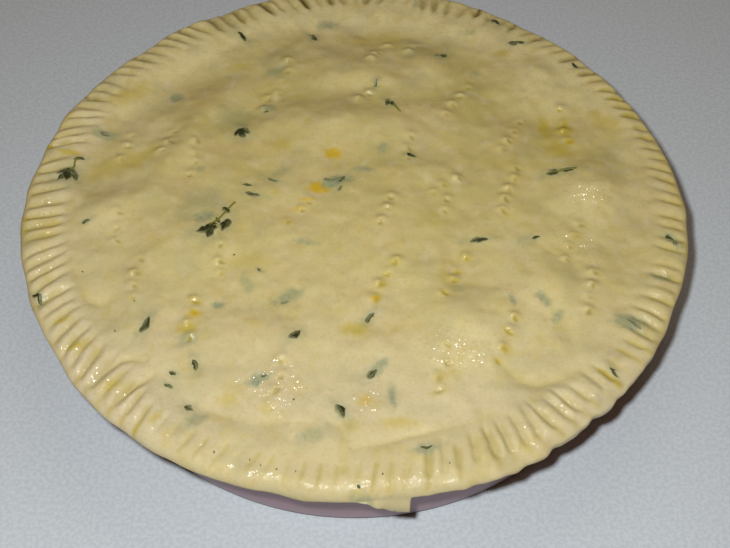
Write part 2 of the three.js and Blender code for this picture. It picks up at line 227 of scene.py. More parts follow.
# Creases of the lid: depth, half width, points
CREASES = [
    (0.7, 2.2, [(-110, -25), (-105, -35), (-100, -46), (-94, -47.5), (-88, -44)]),
    (1.1, 1.6, [(-94, -86), (-88, -79), (-82, -74), (-74, -75)]),
    (1.1, 1.5, [(-84, -91.5), (-78, -86), (-71, -79)]),
    (0.7, 1.9, [(-10, -100), (-4.5, -103), (-4, -112), (-4.4, -121)]),
    (0.6, 1.3, [(-2, -110.6), (7.5, -109), (18, -106), (26, -104), (40, -100)]),
    (0.4, 2, [(-58, -90.5), (-50, -96), (-42, -98.7), (-30, -100.2), (-14, -101)]),
    (0.9, 2.8, [(50.6, -72), (52.7, -77), (62.3, -83.6), (76, -81), (87, -78)]),
    (0.3, 1.5, [(71, -22), (76, -26.5), (82, -28), (91, -32)]),
]
CREASE_STEPS = 6
CREASE_FINE = 2.5

# Fork pricks, with the distances past which an effect is left out, in radii for the wash and the painted
# shade in the slit.
# Rows of pricks: first prick x, y, heading, how many, how much yellow wash they hold
PRICK_PITCH = 6.2
PRICK_JITTER = (-0.16, 0.16, 2)
PRICK_SIDE_JITTER = (-0.9, 0.9, 11)
PRICK_RADIUS = (0.55, 0.9, 8)
PRICK_STRETCH = (1, 2.2, 13)
PRICK_SLIT_HEADING = (-70, 70, 18)
PRICK_POOL = 0.75
PRICK_DEPTH = (0.2, 0.8, 9)
HEAVE_HEIGHT = (0.3, 1.4, 10)
HEAVE_REACH = 1.7
HEAVE_RADIUS = 1.8
HEAVE_STRETCH = 1.25
# Painted highlight on the dough heaved up behind each prick
HEAVE_PAINTED_LIGHT = 0.65
HEAVE_HEADING = (70, 165, 14)
PRICK_RELIEF_CUT = 7.2
HEAVE_CUT = 5.4
PRICK_FINE_CUT = 3.6
PRICK_WASH_CUT = 6
PRICK_SHADE_CUT = 3
PRICK_ROWS = [
    (-91, 36, -104, 3, 0.3), (-74, 38, -110, 3, 0.3), (-63, 32, -99, 4, 0.3), (-36, 57, -97, 2, 0.3),
    (-28, 80, -101, 4, 0.3), (7, 80, 57, 3, 0.3), (27, 91, -117, 2, 0.4), (9, 65, -126, 3, 0.3),
    (48, 63, -124, 4, 0.3), (69, 44, -120, 4, 0.3), (65, 18, -106, 5, 0.4), (86, 52, -83, 4, 0.9),
    (24, 34, -99, 3, 0.3), (42, 11, -150, 3, 0.4), (14, 0, -106, 3, 0.3), (37, 1, -104, 2, 0.4),
    (42, -29, -115, 4, 0.9), (15, -31, -114, 4, 0.9), (88, -12, -114, 4, 0.4), (91, -36, -107, 4, 0.4),
    (58, -58, -110, 4, 0.9), (34, -70, -105, 4, 0.5), (-92, -7, -90, 3, 0.3), (-82, -29, -90, 4, 0.4),
    (-52, -18, -87, 4, 0.4), (-26, -76, -97, 4, 0.4), (-59, -48, -95, 4, 0.9), (-18, 0, -125, 3, 0.5),
]

# Small dark flecks of thyme: x, y, length
FLECK_WIDTH_SHARE = 0.5
FLECK_TONE = 0.45
FLECK_HEADING = (0, 360, 17)
FLECKS = [
    (-26.6, -119.2, 0.9), (-32.1, -117.7, 0.8), (-48, -112.5, 1.2), (9.2, -121.1, 0.9), (-20.1, -120, 0.8),
    (-21.6, -91.4, 1), (-35.8, -115.5, 0.8), (-46, -27.4, 1), (-103.1, -33.6, 1.1), (-87.6, -61.6, 1.4),
    (31.9, -117.1, 0.9), (-81.8, -48.6, 1),
]

# Egg yolk on the lid: x, y, heading, length, width, strength
YOLKS = [
    (-9, 25.5, 0, 7, 5, 1), (-15, 7, 10, 8.5, 5.5, 1), (-23, -4, 10, 6, 2.6, 0.45),
    (-19, 0.5, 5, 6, 1.6, 0.6), (88, 33, -20, 4, 3, 0.5), (-59, -55, 0, 4.5, 3, 0.6),
    (7, -48, 0, 4, 2, 0.7), (3, -92, -10, 5, 4.5, 0.5),
]

# Stains of thick wash, and at x -93, y 22 a painted shade in a hollow of the lid: x, y, heading, length,
# width, strength
STAINS_AND_HOLLOW_SHADE = [
    (-26, -11, 15, 5, 3, 0.5), (-19.5, 42, 0, 3, 2, 0.6), (63.6, 86.6, 20, 8, 4, 0.6),
    (78.7, 42.8, -88, 12, 5, 0.8), (86.5, 41, -60, 10, 6, 0.8), (83, 29, -30, 12, 8, 0.6),
    (104, 44, -60, 14, 8, 0.5), (-61.5, -61, 0, 7, 5, 0.7), (0, -62, 0, 11, 6, 0.7),
    (15, -101, 0, 13, 4, 0.5), (-2, -102, 0, 7, 5, 0.4), (-44, -91, 0, 7, 5, 0.5),
    (-49, 79, 0, 10, 6, 0.45), (8, 96, 0, 26, 8, 0.35), (-30, 30, 0, 8, 5, 0.4), (60, 20, 0, 14, 8, 0.3),
    (-75, 20, 60, 14, 6, 0.2), (30, -10, 20, 14, 7, 0.3), (-40, -30, 0, 14, 7, 0.3),
    (35, -40, -60, 12, 6, 0.4), (-93, 22, 25, 34, 9, 0.5), (-95, 62, 40, 20, 8, 0.55),
    (-118.6, -10, 5, 8, 2.6, 0.6), (-120.5, -18, 8, 6, 2, 0.4), (-107.8, -57, 28, 7, 3, 0.8),
    (-101.2, -68.3, 34, 7, 3, 0.8), (-86.5, -85.5, 45, 7, 3, 0.7), (-69.4, -98.7, 55, 6, 3, 0.6),
    (-115.8, 27, -13, 9, 2.4, 0.8),
]

# Painted light: a lighter middle of the lid and the lit tops of its lumps: x, y, heading, length, width,
# strength
PAINTED_LIGHT_PATCHES = [
    (22, -32, 0, 190, 80, 0.28), (92, -3, 10, 34, 30, 0.6), (77, 62, 0, 30, 32, 0.6),
    (-5, 33, 0, 40, 20, 0.2), (20, 38, 0, 24, 18, 0.15), (-98, -11, 0, 26, 16, 0.45),
    (-62, -28, 0, 44, 34, 0.3), (40, -73, 0, 40, 20, 0.6), (68, -53, 0, 30, 28, 0.5),
    (30, 71, 0, 16, 14, 0.45), (0, 66, 0, 50, 8, 0.25), (-50, 81, 0, 28, 14, 0.4),
    (-2, 91, 0, 36, 12, 0.35),
]

# Painted light on the rim at the back: strength and the span of radius over which it sets in, and that of y
BACK_RIM_PAINTED_LIGHT = (0.8, 94, 108)
BACK_RIM_SPAN = (10, 80)

# Where the wet film is rough enough to glint: x, y, heading, length, width, strength
WET_LID = 0.3
WET_RIM = 0.65
WET_HEAVE = 2.2
WET_PATCHES = [
    (-28, -84, 0, 24, 18, 5), (36, -72, 0, 26, 20, 4), (4, -91, 0, 12, 10, 4.5),
    (-50, -14, 0, 14, 10, 2), (-12, 24, 0, 14, 10, 1.8), (-24, -12, 0, 12, 8, 1.6),
    (-60, 60, 0, 14, 10, 1.8), (88, -22, -60, 26, 14, 4.5), (92, 4, 0, 18, 12, 4.5),
    (30, 20, 0, 16, 12, 1.8), (76, 66, 0, 14, 12, 1.8), (-46, 100, 0, 16, 8, 1.8),
    (52, -42, 0, 14, 12, 1.6), (0, -40, 0, 12, 10, 1.4), (58, -104, 30, 44, 16, 2.2),
    (-119.5, -30, -75, 22, 10, 1.5), (-104, -66, -60, 34, 14, 1.8), (122, -30, 75, 30, 8, 1.4),
    (-63, -102, -35, 26, 9, 2.4), (-36, -117, -15, 30, 7, 2), (10, -121, 5, 36, 5, 1.6),
    (-87, -85, -45, 30, 12, 2.2), (-122, 4, 85, 30, 6, 1.6), (92, -84, 45, 34, 10, 1.6),
]

# Paler pastry towards the front, the left and on the rim, and what of that is lost again at the very front:
# strength, and the span over which it sets in
PALE_FRONT = (0.62, 20, 110)
PALE_FRONT_LOSS = (0.45, 92, 116)
PALE_LEFT = (0.3, 50, 110)
PALE_RIM = (0.1, 106, 118)

# Thyme under the surface, seen as grey-green shadows: x, y, heading, length, width, strength
SMUDGES = [
    (-59, -8.3, 27, 9, 6, 0.75), (-61, 0, 50, 20, 12, 0.35), (-103, 38, -20, 10, 5, 0.7),
    (-47.5, 41.5, 0, 8, 6, 0.5), (-50.5, -50.6, -14, 5, 3, 0.8), (-25.2, -47.1, 25, 12, 5.5, 0.65),
    (-40.6, -40.9, -68, 9, 4, 0.45), (-61, -66, 20, 8, 6, 0.45), (-34.6, -83.1, 29, 8, 4, 0.9),
    (-55.7, -99.7, 47, 9, 6, 0.5), (-14.6, -105.7, 24, 10, 6, 0.5), (-19, -21, -12, 9, 3, 0.5),
    (69.5, -48.4, -52, 7, 3.2, 0.75), (58.2, -49.4, -83, 6, 2.2, 0.75), (74.5, -55.8, 70, 6, 3.5, 0.6),
    (101, -58, -25, 13, 7, 0.8), (115.5, -36.9, -18, 8, 4, 0.75), (122.4, -18.7, -58, 8, 4, 0.75),
    (8.2, -78.3, 47, 9, 4, 0.7), (13, -89.9, -87, 9, 2.8, 0.75), (24.3, -111, 4, 9, 4.5, 0.65),
    (2.9, -129.6, -27, 8, 5, 0.55), (38, -44, 0, 6, 4, 0.3), (66, -20, 10, 10, 6, 0.4),
    (3, 17, -8, 7, 3, 0.55), (11, 28, 60, 6, 4, 0.6), (-7.6, 10.4, 15, 11.5, 5.5, 0.95),
    (-12.3, 105.9, 10, 9, 6, 0.6), (-62, 17, 13, 4, 2.2, 0.6), (-34.7, 74, 20, 7, 5, 0.45),
    (-75.8, 61.3, -30, 6, 5, 0.75), (-50.2, 46.7, 0, 16, 12, 0.3), (27, 118.5, 80, 6, 3, 0.5),
    (62.6, 108.4, -20, 9, 4, 0.5), (49.4, 100.6, 10, 8, 3, 0.4), (51.5, 74, 40, 6, 4, 0.3),
    (24.2, 85.1, 40, 8, 5, 0.4), (-36.5, 51.5, 20, 7, 5, 0.6), (-30, 15.5, 25, 8, 4, 0.4),
]

# Thyme leaves on the surface: middle x, y, heading, length, width, tone from black-green 0 to grey-green 1,
# with the streaks of a leaf below 0 lost in the black
LEAVES = [
    (-57.4, -15.2, -149, 8.2, 3.7, -0.3), (-55.3, -16.4, -111, 7.4, 3.2, -0.3),
    (-56.2, -13.8, -146, 6.4, 2.6, -0.1), (-50.3, -13, -108, 7.6, 3.2, -0.2),
    (-50.5, -5, 129, 4.6, 2.2, -0.1), (-53.3, -10.6, -60, 4, 1.4, 0.3), (-116.5, 16.8, -165, 7.4, 2.4, 0.3),
    (-115.5, 15.2, -82, 6.4, 2.8, -0.3), (-112.4, 15.2, -58, 6, 2.4, 0.4),
    (-117.2, 14.6, -140, 6, 2.8, 0.6), (-114, 17.4, -20, 5.2, 2.4, 0.25), (-111.6, 24, 9, 4.8, 1.2, 0.15),
    (-46.6, 36.8, -70, 6, 3.4, -0.3), (-45.2, 37.6, -45, 5, 2.6, 0.2), (-47.9, 37.2, -120, 5, 2.8, 0.1),
    (-42.8, 8.2, -12, 4.4, 1.1, 0.45), (-40.4, 3.3, -18, 6.7, 1.8, 0.35),
    (-32.8, 10.9, -24, 5.3, 1.3, 0.65), (-104.7, -9.8, 17, 3.8, 1.4, 0.5),
    (-76.5, -59.5, 68, 7.7, 2.6, 0.05), (-21.7, -65.4, 43, 5.8, 2.4, 0),
    (-118.6, -45.4, -20, 4, 1.5, 0.15), (-117.2, -47, -75, 4.5, 1.6, 0.15),
    (-36.2, -34.5, -43, 2.2, 1.1, 0.6), (-26, -49.6, 20, 3.4, 1.2, 0.8), (5, -56.5, 55, 5.5, 2.2, 0.3),
    (5.8, -81, 50, 5.5, 2.4, 0.5), (-5, -95.8, 119, 6.5, 2.8, 0.4), (-32.3, -81.6, 10, 2.8, 1, 0.5),
    (-57, -77, -75, 5.6, 1.9, 0.3), (-58.3, -94.2, -33, 3.8, 2.2, 0.1), (24.3, -110.8, 4, 4.5, 1, 0.1),
    (-66, -85, -30, 4, 1.4, 0.4), (47.4, -19.6, 10, 7.6, 2, 0.1), (69.4, -18.8, 14, 3.6, 1, 0.2),
    (79.3, 14.8, 20, 5.4, 1.9, 0.1), (79.2, 16.6, 3, 4, 1.2, 0.5), (85.3, 16.3, 8, 7, 2.2, 0.35),
    (121.6, -17.4, -40, 4.2, 1.9, 0.05), (123, -20.4, -80, 3, 1.5, 0.6), (102.5, -58.6, -45, 7, 1.7, 0.8),
    (22.5, 24, -25, 4.5, 1.7, 0.4), (-37.2, 49.6, 20, 2.4, 1.4, 0.7), (-5.5, 11.4, 50, 5, 2, 0.5),
    (-9.6, 11.4, 8, 6.5, 2, 0.5), (-6.2, 6.6, 60, 3.4, 1.3, 0.7), (14, 55, -30, 4, 1.8, 0.6),
    (15.6, 53, -60, 4.4, 1.8, 0.1), (13.4, 53.4, -110, 3.2, 1.9, -0.2), (-49.5, 98.6, -57, 7, 1.7, 0),
    (-18.2, 97, 80, 3.6, 2.4, 0.2), (-19, 98.8, 150, 3.4, 2.2, 0.7), (38.2, 84.6, 30, 4, 2.6, 0.6),
    (36.2, 83.8, 190, 3.4, 2.2, 0.6), (69.5, 93.6, 10, 5, 2.2, 0.3), (72.6, 93.8, -10, 4, 1.5, 0.6),
    (62.6, 108.4, -30, 5, 1.9, 0.1), (95, 79, -40, 4, 1.5, 0.35), (-103, 38, -20, 5, 1.8, 0.55),
    (92.5, -80.3, -60, 4.4, 1, 0.15), (91.8, -78.6, -20, 2.6, 0.9, 0.25), (-65, -80, -20, 3, 1.3, 0.3),
    (1.2, -125.4, -40, 1.6, 0.9, 0.4), (8.6, 65.2, 70, 3.4, 1.2, 0.5),
]

# Thyme stems: points
STEMS = [
    [(-47.2, -0.8), (-48.6, -2.6), (-52.2, -8.6), (-56, -13.4)],
    [(-112, 24), (-113.2, 22.2), (-113.4, 19.6), (-114.6, 17.4)],
    [(76.6, 14.8), (81.5, 15.8), (88.6, 16.8)],
    [(13.4, 55.6), (16, 52), (18.6, 48)],
]
STEM_RADIUS = 0.42
STEM_SIDES = 6
STEM_STEPS = 4
STEM_SINK = 0.5

# Shape, crumple and tones of a leaf, and the halo that it has in the pastry
LEAF_ROWS = 15
LEAF_COLUMNS = 9
LEAF_END_SHARE = 0.12
LEAF_TAPER = 0.85
LEAF_FULLNESS = 0.7
LEAF_RAGGED = 0.5
LEAF_RAGGED_WAVES = 4
LEAF_RAGGED_LAYER = 0.5
LEAF_THICKNESS = 0.8
LEAF_SPREAD = 1.2
LEAF_SINK = 0.1
LEAF_RIB = 0.08
LEAF_RIB_WIDTH = 0.2
LEAF_CRUMPLE = 0.25
LEAF_CRUMPLE_LENGTH = 1.1
LEAF_BEND = (-0.14, 0.14, 12)
LEAF_LIFT = 0.75
LEAF_SUNK_LIFT = 0.4
LEAF_STREAK = 0.8
LEAF_STREAK_WAVES = (0.8, 2)
LEAF_STREAK_LAYER = 0.3
LEAF_TONE_SHARE = 0.5
LEAF_SIDE = 0.45
LEAF_HALO = 1.9
LEAF_HALO_STRENGTH = 0.4

# Softness of the edges of tinted patches, as a share of their half size
YOLK_SOFT = 0.45
STAIN_AND_SHADE_SOFT = 0.7
PAINTED_LIGHT_SOFT = 0.9
WET_SOFT = 0.7
SMUDGE_SOFT = 0.55
HALO_SOFT = 0.8

# Ragged edges of the tinted patches: length of the waves as a share of the patch's width, size
PATCH_RAGGED = [(0.6, 0.5), (0.25, 0.35)]

# Pastry: noise scale and tones, then soft veils, each by its noise scale, where it begins and is full, its
# strength and its colour, then the colours of the mesh's own tints, with painted light and painted shade
# among them
PASTRY_TONES = (30, [
    (0.3, (0.4, 0.35, 0.12, 1)), (0.5, (0.46, 0.4, 0.16, 1)), (0.7, (0.48, 0.415, 0.195, 1)),
])
BUTTER_VEIL = (55, 0.5, 0.75, 0.55, (0.46, 0.35, 0.15, 1))
PASTRY_VEILS = [
    (120, 0.53, 0.75, 0.6, (0.46, 0.38, 0.105, 1)),
    (80, 0.55, 0.78, 0.6, (0.34, 0.315, 0.165, 1)),
    (160, 0.53, 0.78, 0.6, (0.58, 0.51, 0.3, 1)),
    (420, 0.55, 0.8, 0.4, (0.4, 0.3, 0.1, 1)),
    (1000, 0.5, 0.8, 0.35, (0.36, 0.31, 0.13, 1)),
]
PALE_COLOUR = (0.52, 0.472, 0.335, 1)
# Colour laid on as painted light
PAINTED_LIGHT_COLOUR = (0.59, 0.528, 0.268, 1)
WASH_COLOUR = (0.41, 0.325, 0.025, 1)
YOLK_COLOUR = (0.49, 0.335, 0.014, 1)
HERB_COLOUR = (0.16, 0.222, 0.138, 1)
HERB_MOTTLE = (500, [(0.35, 0.7), (0.65, 1)])
# Painted shade in the grooves, the slits and along the rim's edge, and how strong it is
PIT_SHADE_COLOUR = (0.1, 0.075, 0.02, 1)
PIT_SHADE_STRENGTH = 0.6
PASTRY_ROUGHNESS = (90, [(0.35, 0.45), (0.7, 0.62)])
GRAIN_SCALE = 330
GRAIN_HEIGHT = 0.16

# Film of egg wash, rougher and glossier from little wet to very wet
FILM_SCALE = 480
FILM_DETAIL = 1.5
FILM_HEIGHT = 0.5
WET_SPAN = (0.7, 2.5)
WET_COAT_WEIGHT = (0.16, 0.85)
WET_COAT_ROUGHNESS = (0.27, 0.14)

# Thyme: tones of leaves up to the ramp's middle and of stems at its end, a veil of patches, and the edges
THYME_TONES = [
    (0, (0.02, 0.0225, 0.005, 1)), (0.18, (0.089, 0.097, 0.036, 1)), (0.5, (0.285, 0.292, 0.165, 1)),
    (1, (0.17, 0.17, 0.02, 1)),
]
THYME_VEIL = (700, 0.5, 0.7, 0.5, (0.142, 0.157, 0.062, 1))
THYME_EDGE = [(0.25, 0), (0.9, 0.85)]
THYME_EDGE_COLOUR = (0.247, 0.242, 0.105, 1)
THYME_ROUGHNESS = (300, [(0.3, 0.35), (0.7, 0.55)])
VEIN_SCALE = 1100
VEIN_HEIGHT = 0.25

# Tin: mauve-grey streaks and clouds, then bands of painted light, a painted reflection of the floor pale low
# on the wall and a painted shadow dark at its foot: the height where each is full, where it ends, its
# strength and its colour
TIN_STREAK_STRETCH = (8, 8, 900)
TIN_STREAK_DETAIL = 5
TIN_STREAK_HEIGHT = 0.05
TIN_TONES = [(0.3, (0.25, 0.16, 0.19, 1)), (0.7, (0.37, 0.26, 0.295, 1))]
TIN_ROUGHNESS = [(0.3, 0.36), (0.7, 0.52)]
TIN_CLOUD_SCALE = 45
TIN_CLOUD_STRENGTH = 0.35
TIN_CLOUD_COLOUR = (0.28, 0.175, 0.185, 1)
TIN_PAINTED_LIGHT_BANDS = [(2, 9, 0.45, (0.42, 0.34, 0.37, 1)), (1.4, 2, 1, (0.02, 0.014, 0.016, 1))]

# Steps of the uneven numbers
NOISE_STEP = 127.1
NOISE_SEED_STEP = 311.7
NOISE_GAIN = 43758.5453


def draw(span, index):
    """The same uneven number in a span every time for a whole number."""
    low, high, seed = span
    value = np.sin(np.asarray(index) * NOISE_STEP + seed * NOISE_SEED_STEP) * NOISE_GAIN
    return low + (high - low) * (value - np.floor(value))


def ease(value, start, end):
    share = np.clip((value - start) / (end - start), 0, 1)
    return share * share * (3 - 2 * share)


def grown(value, size, start, end):
    """A size that sets in between a start and an end."""
    return size * ease(value, start, end)


def bell(share):
    return np.exp(-(share**2))


def polar(x, y):
    return np.hypot(x, y), np.arctan2(y, x) % TURN


def waves(rows, angle):
    return sum(size * np.sin(count * angle + phase) for count, size, phase in rows)


def turned(x, y, middle_x, middle_y, heading):
    """Distances of points from a middle, along a heading and across it."""
    turn = radians(heading)
    along = (x - middle_x) * cos(turn) + (y - middle_y) * sin(turn)
    across = (y - middle_y) * cos(turn) - (x - middle_x) * sin(turn)
    return along, across


def placed(middle_x, middle_y, heading, along, across):
    """Points at distances from a middle, along a heading and across it."""
    turn = radians(heading)
    x = middle_x + along * cos(turn) - across * sin(turn)
    y = middle_y + along * sin(turn) + across * cos(turn)
    return x, y


def near(x, y, middle_x, middle_y, reach):
    """Numbers of the points in a square about a place."""
    return np.flatnonzero((np.abs(x - middle_x) < reach) & (np.abs(y - middle_y) < reach))


def ripple(x, y, length, layer):
    return np.array([noise.noise((px, py, layer)) for px, py in zip(x / length, y / length)])


def smooth_line(points, steps):
    """A smooth curve through points."""
    path = np.array([points[0], *points, points[-1]], float)
    line = []
    for a, b, c, d in zip(path, path[1:], path[2:], path[3:]):
        for t in np.arange(steps) / steps:
            bend = (2 * a - 5 * b + 4 * c - d) * t**2 + (3 * b - a - 3 * c + d) * t**3
            line.append((2 * b + (c - a) * t + bend) / 2)
    return np.array(line + [path[-1]])


def line_distance(x, y, line):
    """Distance of each point from a line, and the share of the line's length where that is."""
    best = np.full_like(x, np.inf)
    place = np.zeros_like(x)
    for index, (start, step) in enumerate(zip(line, np.diff(line, axis=0))):
        share = ((x - start[0]) * step[0] + (y - start[1]) * step[1]) / (step @ step)
        share = np.clip(share, 0, 1)
        distance = np.hypot(x - start[0] - share * step[0], y - start[1] - share * step[1])
        closer = distance < best
        best[closer] = distance[closer]
        place[closer] = ((index + share) / (len(line) - 1))[closer]
    return best, place


def stretch_share(angle, middle, half_width):
    """How much places on the rim belong to a stretch of it in degrees."""
    return 1 - ease(np.abs(angle - radians(middle)), 0, radians(half_width))


def between_keys(keys, angle):
    """Values eased between rows of keys, each an angle in degrees and its values."""
    degrees = np.degrees(angle)
    index = np.searchsorted(keys[:, 0], degrees, side="right") - 1
    start = keys[index]
    end = keys[(index + 1) % len(keys)]
    span = (end[:, 0] - start[:, 0]) % 360
    share = ease((degrees - start[:, 0]) / span, 0, 1)
    return (start[:, 1:] + (end[:, 1:] - start[:, 1:]) * share[:, None]).T


def outline(angle):
    """Outer radius of the pastry, more ragged at the front right."""
    ragged = stretch_share(angle, *RAGGED_STRETCH)
    smooth = PASTRY_RADIUS + between_keys(OUTLINE_KEYS, angle)[0] + waves(OUTLINE_WAVES, angle)
    return smooth + ragged * waves(RAGGED_WAVES, angle)


def lip_edge(angle):
    """Height of the pastry's lower edge without the hanging scrap."""
    return LIP_HEIGHT + waves(LIP_WAVES, angle)


def bulge_height(angle):
    """Height of the outermost line of the rim."""
    front = stretch_share(angle, *FRONT_STRETCH)
    return BULGE_HEIGHT * (1 - front) + (lip_edge(angle) + FRONT_BULGE_RISE) * front


def rim_ripple(angle, length, layer):
    """Uneven waves round the rim."""
    reach = PASTRY_RADIUS / length
    return ripple(reach * np.cos(angle), reach * np.sin(angle), 1, layer)


def crimps(angle, radius):
    """Relief of the fork's grooves and the rolls between, and each point's share in a groove and a roll."""
    start, rise, outer, depth, lean, half_width, height = between_keys(CRIMP_KEYS, angle)
    place = angle / TURN * CRIMP_COUNT
    ended = 1 - ease(radius, outer, outer + CRIMP_FADE)
    # How far past the grooves' relief their wash and their painted shade still reach
    wash_and_shade_reach = 1 - ease(radius - CRIMP_WASH_AND_SHADE_REACH, outer, outer + CRIMP_FADE)
    groove = np.zeros_like(angle)
    nearest = np.full_like(angle, 0.5)
    for step in (-1, 0, 1):
        middle = np.round(place) + step
        number = middle % CRIMP_COUNT
        press = number // FORK_TINES
        tine = number % FORK_TINES - (FORK_TINES - 1) / 2
        shift = draw(CRIMP_SHIFT, number) + draw(PRESS_SHIFT, press)
        slant = (lean + draw(PRESS_LEAN, press)) * (radius - outer)
        offset = np.abs(place - middle - shift + tine * PRESS_TIGHTENING - slant)
        nearest = np.minimum(nearest, offset)
        press_start = start + draw(PRESS_START_SHIFT, press)
        along = ease(radius, press_start, press_start + rise)
        width = half_width * draw(CRIMP_WIDTH, number) * (1 - CRIMP_NARROWING * (1 - along))
        strength = draw(CRIMP_STRENGTH, number) * draw(PRESS_STRENGTH, press)
        groove = np.maximum(groove, np.exp(-((offset / width) ** CRIMP_SHARPNESS)) * along * strength)
    uneven = ease(rim_ripple(angle, ROLL_LENGTH, ROLL_LAYER), *ROLL_UNEVEN)
    low, high = ROLL_STRENGTH
    height *= low + (high - low) * uneven
    height *= ease(radius, start - CRIMP_FADE, start + CRIMP_FADE) * ended
    roll = np.sin(pi * nearest) ** ROLL_POWER
    return height * (roll - ROLL_MEAN) - depth * groove * ended, groove * wash_and_shade_reach, height * roll


def lump_height(x, y):
    total = np.zeros_like(x)
    for middle_x, middle_y, length, width, heading, height in LUMPS:
        along, across = turned(x, y, middle_x, middle_y, heading)
        total += height * np.exp(-((along / length) ** 2) - (across / width) ** 2)
    return total


def crease_share(x, y):
    """For each crease its depth and how much of it each point is in, fading out towards its ends."""
    for depth, width, points in CREASES:
        distance, place = line_distance(x, y, smooth_line(points, CREASE_STEPS))
        yield depth, np.sqrt(np.sin(pi * place).clip(0)) * bell(distance / width)


def prick_places():
    """Every fork prick, with its uneven place, size and heave drawn for its number."""
    places = []
    for row, (start_x, start_y, heading, count, wash) in enumerate(PRICK_ROWS):
        for index in range(count):
            number = row * len(PRICK_ROWS) + index
            reach = PRICK_PITCH * (index + draw(PRICK_JITTER, number))
            x, y = placed(start_x, start_y, heading, reach, draw(PRICK_SIDE_JITTER, number))
            heave_x, heave_y = placed(x, y, draw(HEAVE_HEADING, number), HEAVE_REACH, 0)
            places.append(SimpleNamespace(
                x=x, y=y, heave_x=heave_x, heave_y=heave_y, wash=wash,
                radius=draw(PRICK_RADIUS, number),
                stretch=draw(PRICK_STRETCH, number),
                heading=draw(PRICK_SLIT_HEADING, number),
                depth=draw(PRICK_DEPTH, number),
                heave=draw(HEAVE_HEIGHT, number),
            ))
    return places


def slit_reach(x, y, prick):
    """Distance of points from a prick's middle, in shares of its half length and half width."""
    along, across = turned(x, y, prick.x, prick.y, prick.heading)
    return np.hypot(along / prick.stretch, across) / prick.radius


def heave_share(x, y, prick):
    """How much of the dough heaved up behind a prick each point is in."""
    across = (x - prick.heave_x) / HEAVE_STRETCH
    return bell(np.hypot(across, y - prick.heave_y) / HEAVE_RADIUS)


def prick_relief(x, y):
    """Slits of the fork's tines, each with dough heaved up behind it."""
    total = np.zeros_like(x)
    for prick in PRICKS:
        some = near(x, y, prick.x, prick.y, PRICK_RELIEF_CUT)
        total[some] += prick.heave * heave_share(x[some], y[some], prick)
        total[some] -= prick.depth * bell(slit_reach(x[some], y[some], prick))
    return total


def edge_drop(angle, radius):
    """How far the rim's edge has rounded down from the crest to the bulge."""
    width = EDGE_WIDTH + (FRONT_EDGE_WIDTH - EDGE_WIDTH) * stretch_share(angle, *FRONT_STRETCH)
    share = np.clip((width - outline(angle) + radius) / width, 0, 1)
    round_share = 1 - (1 - share**EDGE_POWER) ** (1 / EDGE_POWER)
    return (CREST_HEIGHT - bulge_height(angle)) * round_share


def top_height(x, y):
    """Height of the lid's and the rim's upper face."""
    radius, angle = polar(x, y)
    lid = DOME_RISE * (1 - (radius / DOME_RADIUS) ** 2) + lump_height(x, y)
    height = CREST_HEIGHT + lid * (1 - ease(radius, RIM_BLEND_START, RIM_BLEND_END))
    moat_radius, moat_depth = between_keys(MOAT_KEYS, angle)
    height -= moat_depth * bell((radius - moat_radius) / MOAT_HALF_WIDTH)
    for layer, (length, size) in enumerate(RIPPLES):
        height += size * ripple(x, y, length, layer)
    for depth, share in crease_share(x, y):
        height -= depth * share
    height += prick_relief(x, y) + crimps(angle, radius)[0]
    return height - edge_drop(angle, radius)


def ring_angles(count):
    return np.arange(count) / count * TURN


def ring(angle, radius, height):
    return np.stack([radius * np.cos(angle), radius * np.sin(angle), height + 0 * angle], axis=1)


def flat_ring(count, radius, height):
    return ring(ring_angles(count), radius, height)


def top_ring(angle, radius):
    return ring(angle, radius, top_height(radius * np.cos(angle), radius * np.sin(angle)))


def lip_rings(angle, top):
    """Outer side of the lip, from the rim's last ring down and in to the lower edge."""
    drop, flare = between_keys(FLAP_KEYS, angle)
    low = lip_edge(angle) - drop + sum(size * rim_ripple(angle, length, 0) for length, size in LIP_DIPS)
    rings = []
    for step in range(1, LIP_STEPS + 1):
        bend = pi / 2 * step / LIP_STEPS
        share = sin(bend)
        radius = outline(angle) - LIP_TUCK * (1 - cos(bend)) + flare * share
        for layer, (length, size) in enumerate(LIP_BUMPS):
            radius += size * share * rim_ripple(angle, length, layer + bend)
        rings.append(ring(angle, radius, top[:, 2] + (low - top[:, 2]) * share))
    return rings


def stitch(inner, outer):
    """Triangles between two rings, or a ring and a point, in the order of their steps round the turn."""
    sides = (outer, inner)
    steps = []
    for side, numbers in enumerate(sides):
        if len(numbers) > 1:
            steps += [((step + 1) / len(numbers), side) for step in range(len(numbers))]
    places = [0, 0]
    triangles = []
    for _, side in sorted(steps):
        b, a = (numbers[place % len(numbers)] for numbers, place in zip(sides, places))
        places[side] += 1
        triangles.append((a, b, sides[side][places[side] % len(sides[side])]))
    return triangles


def skin_from_rings(rings):
    """Points and triangles of a closed skin through rings, from the middle of one side to the other's."""
    starts = np.cumsum([0] + [len(points) for points in rings])
    numbers = [list(range(start, end)) for start, end in zip(starts, starts[1:])]
    triangles = []
    for inner, outer in zip(numbers, numbers[1:]):
        triangles += stitch(inner, outer)
    return np.concatenate(rings), triangles


